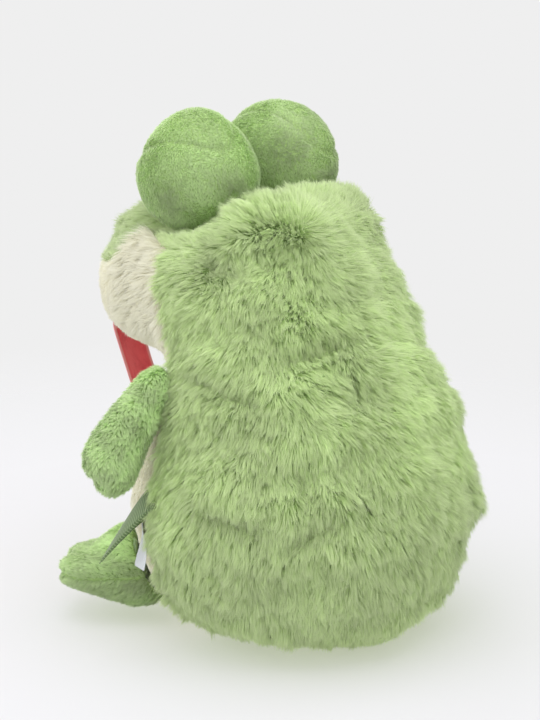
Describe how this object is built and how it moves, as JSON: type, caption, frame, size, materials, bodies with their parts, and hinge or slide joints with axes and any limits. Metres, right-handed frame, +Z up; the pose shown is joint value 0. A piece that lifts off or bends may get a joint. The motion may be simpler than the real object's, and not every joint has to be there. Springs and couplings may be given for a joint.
{
  "type": "plush frog sitting toy",
  "caption": "Seated plush frog with a pear-shaped pile body and head in one, two domed eyes, a broad muzzle, a hanging felt tongue, and sewn-on arms and legs.",
  "frame": {"origin": "middle of the flat seat, on the floor", "axes": "+X to the frog's left, -Y the way the face looks, +Z up"},
  "size_m": [0.2476, 0.2254, 0.2809],
  "materials": {
    "shag_green": "long soft pile, light green",
    "short_green": "short dense pile, green",
    "sole_green": "short dense pile, darker green",
    "cream_plush": "medium pile, cream",
    "seat_cloth": "flat green cloth",
    "filling_white": "polyester fibre filling",
    "pellet_cloth": "woven pouch of plastic pellets",
    "felt_white": "white felt",
    "pupil_black": "black gloss",
    "felt_red": "red felt",
    "felt_pink": "red-pink felt",
    "label_green": "woven satin ribbon, dark green",
    "label_white": "white satin ribbon"
  },
  "bodies": {
    "body": {"back_panel_left": "shag_green", "back_panel_right": "shag_green", "crown_panel": "shag_green", "belly_panel": "cream_plush", "chin_panel": "cream_plush", "muzzle_panel": "cream_plush", "base_panel": "seat_cloth", "body_stuffing": "filling_white", "pellet_pouch": "pellet_cloth", "eye_lid_left": "short_green", "eye_lid_right": "short_green", "eye_wrap_left": "short_green", "eye_wrap_right": "short_green", "eye_stuffing_left": "filling_white", "eye_stuffing_right": "filling_white", "eye_white_left": "felt_white", "eye_white_right": "felt_white", "pupil_left": "pupil_black", "pupil_right": "pupil_black"},
    "tongue": {"tongue_front": "felt_pink", "tongue_back": "felt_red"},
    "arm_left": {"arm_left_back_half": "short_green", "arm_left_front_half": "short_green", "arm_left_stuffing": "filling_white"},
    "arm_right": {"arm_right_back_half": "short_green", "arm_right_front_half": "short_green", "arm_right_stuffing": "filling_white"},
    "leg_left": {"leg_left_upper_half": "short_green", "leg_left_sole_half": "sole_green", "leg_left_stuffing": "filling_white"},
    "leg_right": {"leg_right_upper_half": "short_green", "leg_right_sole_half": "sole_green", "leg_right_stuffing": "filling_white"},
    "seam_label": {"brand_label": "label_green"},
    "care_flap": {"care_label": "label_white"}
  },
  "joints": [
    {"name": "tongue_swing", "type": "hinge", "parent": "body", "child": "tongue", "pos_m": [0.012, -0.13585, 0.16065], "axis": [-1, 0, 0], "range_deg": [-8, 70], "stiffness_Nm_per_rad": 0.01},
    {"name": "arm_left_raise", "type": "hinge", "parent": "body", "child": "arm_left", "pos_m": [0.07336, -0.03955, 0.1625], "axis": [-0.3256, -0.9455, 0], "range_deg": [0, 60], "stiffness_Nm_per_rad": 0.02},
    {"name": "arm_right_raise", "type": "hinge", "parent": "body", "child": "arm_right", "pos_m": [-0.07336, -0.03955, 0.1625], "axis": [-0.3256, 0.9455, 0], "range_deg": [0, 60], "stiffness_Nm_per_rad": 0.02},
    {"name": "leg_left_raise", "type": "hinge", "parent": "body", "child": "leg_left", "pos_m": [0.05954, -0.07632, 0.0495], "axis": [-0.766, -0.6428, 0], "range_deg": [0, 40], "stiffness_Nm_per_rad": 0.02},
    {"name": "leg_right_raise", "type": "hinge", "parent": "body", "child": "leg_right", "pos_m": [-0.05954, -0.07632, 0.0495], "axis": [-0.766, 0.6428, 0], "range_deg": [0, 40], "stiffness_Nm_per_rad": 0.02},
    {"name": "seam_label_flap", "type": "hinge", "parent": "body", "child": "seam_label", "pos_m": [0.09352, -0.03418, 0.084], "axis": [0, 0, 1], "range_deg": [-12, 12], "stiffness_Nm_per_rad": 0.002},
    {"name": "care_flap_lift", "type": "hinge", "parent": "body", "child": "care_flap", "pos_m": [0.0914, -0.0398, 0.086], "axis": [-0.2924, -0.9563, 0], "range_deg": [0, 9], "stiffness_Nm_per_rad": 0.002}
  ]
}
